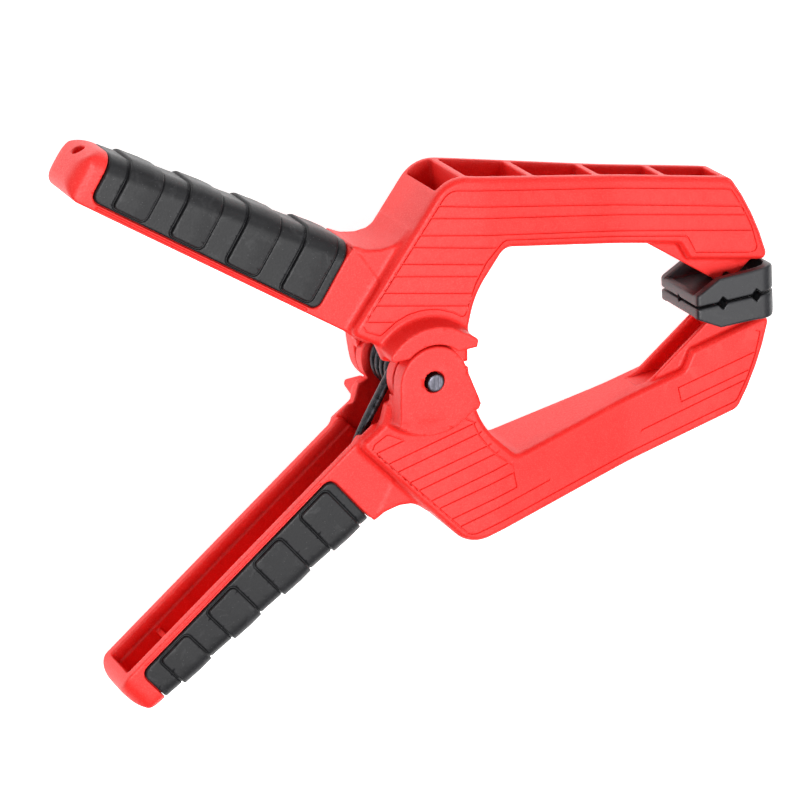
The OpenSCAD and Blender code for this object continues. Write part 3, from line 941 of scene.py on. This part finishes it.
# spring wire: leg, coil, leg
TURNS = 4 + 54 / 360
COIL_R, COIL_H, WIRE = 8.75, TURNS * 3.75, 1.74
T0, T1, BEND, OUT = math.radians(150), math.radians(96), 3.3, math.radians(139)
LEG = np.array([math.cos(T0 + math.pi / 2), math.sin(T0 + math.pi / 2)])
TP = COIL_R * np.array([math.cos(T0), math.sin(T0)])
BC = (COIL_R + BEND) * np.array([math.cos(T1), math.sin(T1)])
EX = BC + BEND * np.array([math.cos(OUT - math.pi / 2), math.sin(OUT - math.pi / 2)])
LEG_PTS = [(62, 5.4), (46, 5.4), (30, 5.4), (22, 5.6), (12, 6.7), (5, 7.5)]
UP_PTS = [(3, 6.6), (8, 5.8), (14, 5.4), (26, 5.4), (40, 5.4), (52.5, 5.4)]
NC = 144
path = [(TP[0] + LEG[0] * q, TP[1] + LEG[1] * q, z) for q, z in LEG_PTS]
for i in range(NC + 1):
    a = T0 - 2 * math.pi * TURNS * i / NC
    path.append((COIL_R * math.cos(a), COIL_R * math.sin(a), COIL_H / 2 - COIL_H * i / NC))
for i in range(1, 7):
    a = T1 - math.pi + (OUT - math.pi / 2 - T1 + math.pi) * i / 6
    path.append((BC[0] + BEND * math.cos(a), BC[1] + BEND * math.sin(a), -COIL_H / 2 + (0.2 * (i - 3) if i > 3 else 0)))
path += [(EX[0] + q * math.cos(OUT), EX[1] + q * math.sin(OUT), -z) for q, z in UP_PTS]
path = np.array(path)


def curve_through(p, step):
    """Even points on a smooth line through p."""
    out = []
    m = len(p)
    for i in range(m - 1):
        p0, p1, p2, p3 = p[max(i - 1, 0)], p[i], p[i + 1], p[min(i + 2, m - 1)]
        d = np.linalg.norm(p2 - p1)
        k = max(1, int(round(d / step)))
        d0, d2 = max(np.linalg.norm(p1 - p0), 1e-6), max(np.linalg.norm(p3 - p2), 1e-6)
        m1 = (p2 - p1) if i == 0 else ((p1 - p0) / d0 * d + (p2 - p1)) / 2
        m2 = (p2 - p1) if i == m - 2 else ((p3 - p2) / d2 * d + (p2 - p1)) / 2
        for j in range(k):
            t = j / k
            out.append((2 * t**3 - 3 * t**2 + 1) * p1 + (t**3 - 2 * t**2 + t) * m1
                       + (-2 * t**3 + 3 * t**2) * p2 + (t**3 - t**2) * m2)
    out.append(p[-1])
    return np.array(out)


def tube(line, r, seg):
    """Wire swept along line, its ends slightly rounded."""
    tan = np.gradient(line, axis=0)
    tan /= np.linalg.norm(tan, axis=1, keepdims=True)
    side = np.cross(tan[0], (0, 0, 1.0))
    side /= np.linalg.norm(side)
    rows, rad, pos, tg = [], [], [], []
    for back, k in ((0.0, 0.55), (0.12, 0.82), (0.35, 0.96)):
        pos.append(line[0] + tan[0] * back); rad.append(k); tg.append(tan[0])
    for i in range(1, len(line) - 1):
        pos.append(line[i]); rad.append(1.0); tg.append(tan[i])
    for back, k in ((0.35, 0.96), (0.12, 0.82), (0.0, 0.55)):
        pos.append(line[-1] - tan[-1] * back); rad.append(k); tg.append(tan[-1])
    for c, k, t in zip(pos, rad, tg):
        side = side - t * (side @ t)
        side /= np.linalg.norm(side)
        up = np.cross(side, t)
        for j in range(seg):
            a = 2 * math.pi * j / seg
            rows.append(c + r * k * (math.cos(a) * side + math.sin(a) * up))
    n = len(pos)
    faces = []
    for i in range(n - 1):
        for j in range(seg):
            a, b = i * seg + j, i * seg + (j + 1) % seg
            faces.append((a, a + seg, b + seg, b))
    rows += [pos[0], pos[-1]]
    for j in range(seg):
        faces.append((len(rows) - 2, j, (j + 1) % seg))
        faces.append((len(rows) - 1, (n - 1) * seg + (j + 1) % seg, (n - 1) * seg + j))
    return np.array(rows), faces


p, f = tube(curve_through(path, 0.8), WIRE, 22)
plain_piece("torsion_spring_wire", p, f, SPRING, None, "torsion_spring", 40,
            blend=("lower", "upper", (-X_MID / 1000, 0, (Z_MID + 3.5) / 1000), (-X_MID / 1000, 0, (Z_MID - 3.5) / 1000)))


# ------------------------------------------------------- floor, light, camera
def floor():
    me = bpy.data.meshes.new("studio_floor")
    s = 3.0
    me.from_pydata([(-s, -s, -0.0004), (s, -s, -0.0004), (s, s, -0.0004), (-s, s, -0.0004)], [], [(0, 1, 2, 3)])
    m, nt, b = new_mat("floor_paper")
    g = Graph(nt)
    co = g.coords()
    base = g.mix(g.remap(g.noise(co, 40.0, 3.0), 0.3, 0.7, 0, 1), (0.80, 0.80, 0.80), (0.83, 0.83, 0.83))
    g.link(base, b.inputs["Base Color"])
    b.inputs["Roughness"].default_value = 0.95
    b.inputs["Specular IOR Level"].default_value = 0.1
    b.inputs["Emission Color"].default_value = (1, 1, 1, 1)
    b.inputs["Emission Strength"].default_value = 0.92
    me.materials.append(m)
    o = bpy.data.objects.new("studio_floor", me)
    bpy.context.scene.collection.objects.link(o)


def area(name, loc, target, size, power, colour=(1, 1, 1), size_y=None):
    d = bpy.data.lights.new(name, "AREA")
    d.energy = power
    d.color = colour
    d.shape = "RECTANGLE"
    d.size = size
    d.size_y = size_y or size
    o = bpy.data.objects.new(name, d)
    o.location = loc
    o.rotation_euler = (Vector(target) - Vector(loc)).to_track_quat("-Z", "Y").to_euler()
    bpy.context.scene.collection.objects.link(o)
    return o


floor()
world = bpy.data.worlds.new("studio")
bpy.context.scene.world = world
world.use_nodes = True
world.node_tree.nodes["Background"].inputs["Color"].default_value = (1, 1, 1, 1)
world.node_tree.nodes["Background"].inputs["Strength"].default_value = 0.12

area("key_front", (-0.08, -0.02, 1.45), (0.0, 0.0, 0.02), 0.5, 17.0)
area("sheen_top", (0.5, -0.45, 1.2), (0.0, 0.0, 0.02), 0.9, 6.5)
area("fill_left", (-1.2, 0.5, 0.75), (0.0, 0.0, 0.02), 0.6, 2.6)
area("fill_right", (0.9, 0.7, 1.0), (0.0, 0.0, 0.02), 0.5, 3.0)

rv = np.array((0.369484, 0.420240, 0.149925))
th = float(np.linalg.norm(rv))
kx, ky, kz = rv / th
K = np.array([[0, -kz, ky], [kz, 0, -kx], [-ky, kx, 0]])
ROT = np.eye(3) + math.sin(th) * K + (1 - math.cos(th)) * K @ K
cam_data = bpy.data.cameras.new("camera")
cam_data.sensor_width = 36.0
cam_data.lens = 147.19
cam_data.clip_start = 0.05
cam = bpy.data.objects.new("camera", cam_data)
bpy.context.scene.collection.objects.link(cam)
m4 = Matrix(ROT.T.tolist()).to_4x4()
m4.translation = Vector((-0.42433, 0.40770, 0.96187))
cam.matrix_world = m4
bpy.context.scene.camera = cam
bpy.context.scene.view_settings.view_transform = "Standard"
